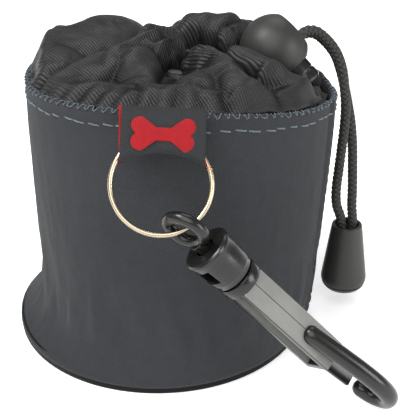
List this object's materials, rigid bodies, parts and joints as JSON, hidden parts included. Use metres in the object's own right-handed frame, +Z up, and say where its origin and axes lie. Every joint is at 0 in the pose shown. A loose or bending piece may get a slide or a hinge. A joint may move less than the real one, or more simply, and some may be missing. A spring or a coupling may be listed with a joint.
{
  "type": "treat pouch",
  "caption": "Soft drawstring pouch for training treats, on a stiff round base, with a gathered collar, ball cord lock, bell cord end, and a swivel snap hook on a split ring.",
  "frame": {"origin": "centre of the underside of the round base, on the surface the pouch stands on", "axes": "+Z up, the label and split ring face -Y, the cord lock and the cord end are on the +X side"},
  "size_m": [0.0862, 0.0865, 0.0747],
  "materials": {
    "wall_cloth": "brushed charcoal",
    "nylon": "soft twill",
    "rim_thread": "matte",
    "base_cloth": "coated",
    "board": "raw fibreboard",
    "cord": "braided",
    "matte_plastic": "fine matte",
    "gloss_plastic": "moulded gloss",
    "label_ribbon": "woven twill",
    "nickel": "warm nickel plate",
    "spring_steel": "drawn wire"
  },
  "bodies": {
    "bag": {"base_panel": "base_cloth", "base_edging": "base_cloth", "base_stiffener": "board", "base_lining": "nylon", "outer_wall": "wall_cloth", "wall_lining": "nylon", "rim_overlock": "rim_thread", "collar": "nylon", "drawstring_tunnel": "nylon", "drawstring_loop": "cord", "drawstring_tail_back": "cord", "drawstring_tail_front": "cord"},
    "lock": {"cord_lock_barrel": "matte_plastic", "cord_lock_spring": "spring_steel"},
    "plunger": {"cord_lock_plunger": "gloss_plastic"},
    "cord_end": {"cord_end_bell": "matte_plastic", "cord_end_plug": "matte_plastic", "cord_end_knot": "cord"},
    "label": {"label_loop": "label_ribbon"},
    "ring": {"split_ring": "nickel"},
    "eye": {"swivel_eye": "gloss_plastic"},
    "hook": {"hook_body": "gloss_plastic"},
    "gate": {"hook_gate": "gloss_plastic"}
  },
  "joints": [
    {"name": "lock_slide", "type": "slide", "parent": "bag", "child": "lock", "axis": [0.7381, 0.288, 0.6101], "range_m": [0, 0.003], "deforming": ["drawstring_tail_back", "drawstring_tail_front"]},
    {"name": "plunger_press", "type": "slide", "parent": "lock", "child": "plunger", "axis": [-0.6744, 0.2822, 0.6824], "range_m": [0, 0.0025], "stiffness_N_per_m": 800, "springref_m": -0.001, "deforming": ["cord_lock_spring"]},
    {"name": "bell_swing", "type": "hinge", "parent": "bag", "child": "cord_end", "pos_m": [0.0456, 0.001, 0.022], "axis": [0, 1, 0], "range_deg": [-20, 8], "deforming": ["drawstring_tail_back", "drawstring_tail_front"]},
    {"name": "label_swing", "type": "hinge", "parent": "bag", "child": "label", "pos_m": [0.00125, -0.03265, 0.06735], "axis": [-1, 0, 0], "range_deg": [-3, 55]},
    {"name": "ring_turn", "type": "hinge", "parent": "label", "child": "ring", "pos_m": [0.0002, -0.0408, 0.0548], "axis": [0, -0.8387, 0.5446], "range_deg": [-30, 30]},
    {"name": "eye_swing", "type": "hinge", "parent": "ring", "child": "eye", "pos_m": [0.00478, -0.04549, 0.04758], "axis": [-0.8829, -0.2557, -0.3937], "range_deg": [-2, 70]},
    {"name": "hook_swivel", "type": "hinge", "parent": "eye", "child": "hook", "pos_m": [0.00461, -0.04568, 0.04742], "axis": [0.6666, 0.0583, -0.7431], "continuous": true},
    {"name": "gate_flex", "type": "hinge", "parent": "hook", "child": "gate", "pos_m": [0.03264, -0.04137, 0.01396], "axis": [-0.5452, -0.6418, -0.5394], "range_deg": [0, 12], "stiffness_Nm_per_rad": 0.02}
  ]
}
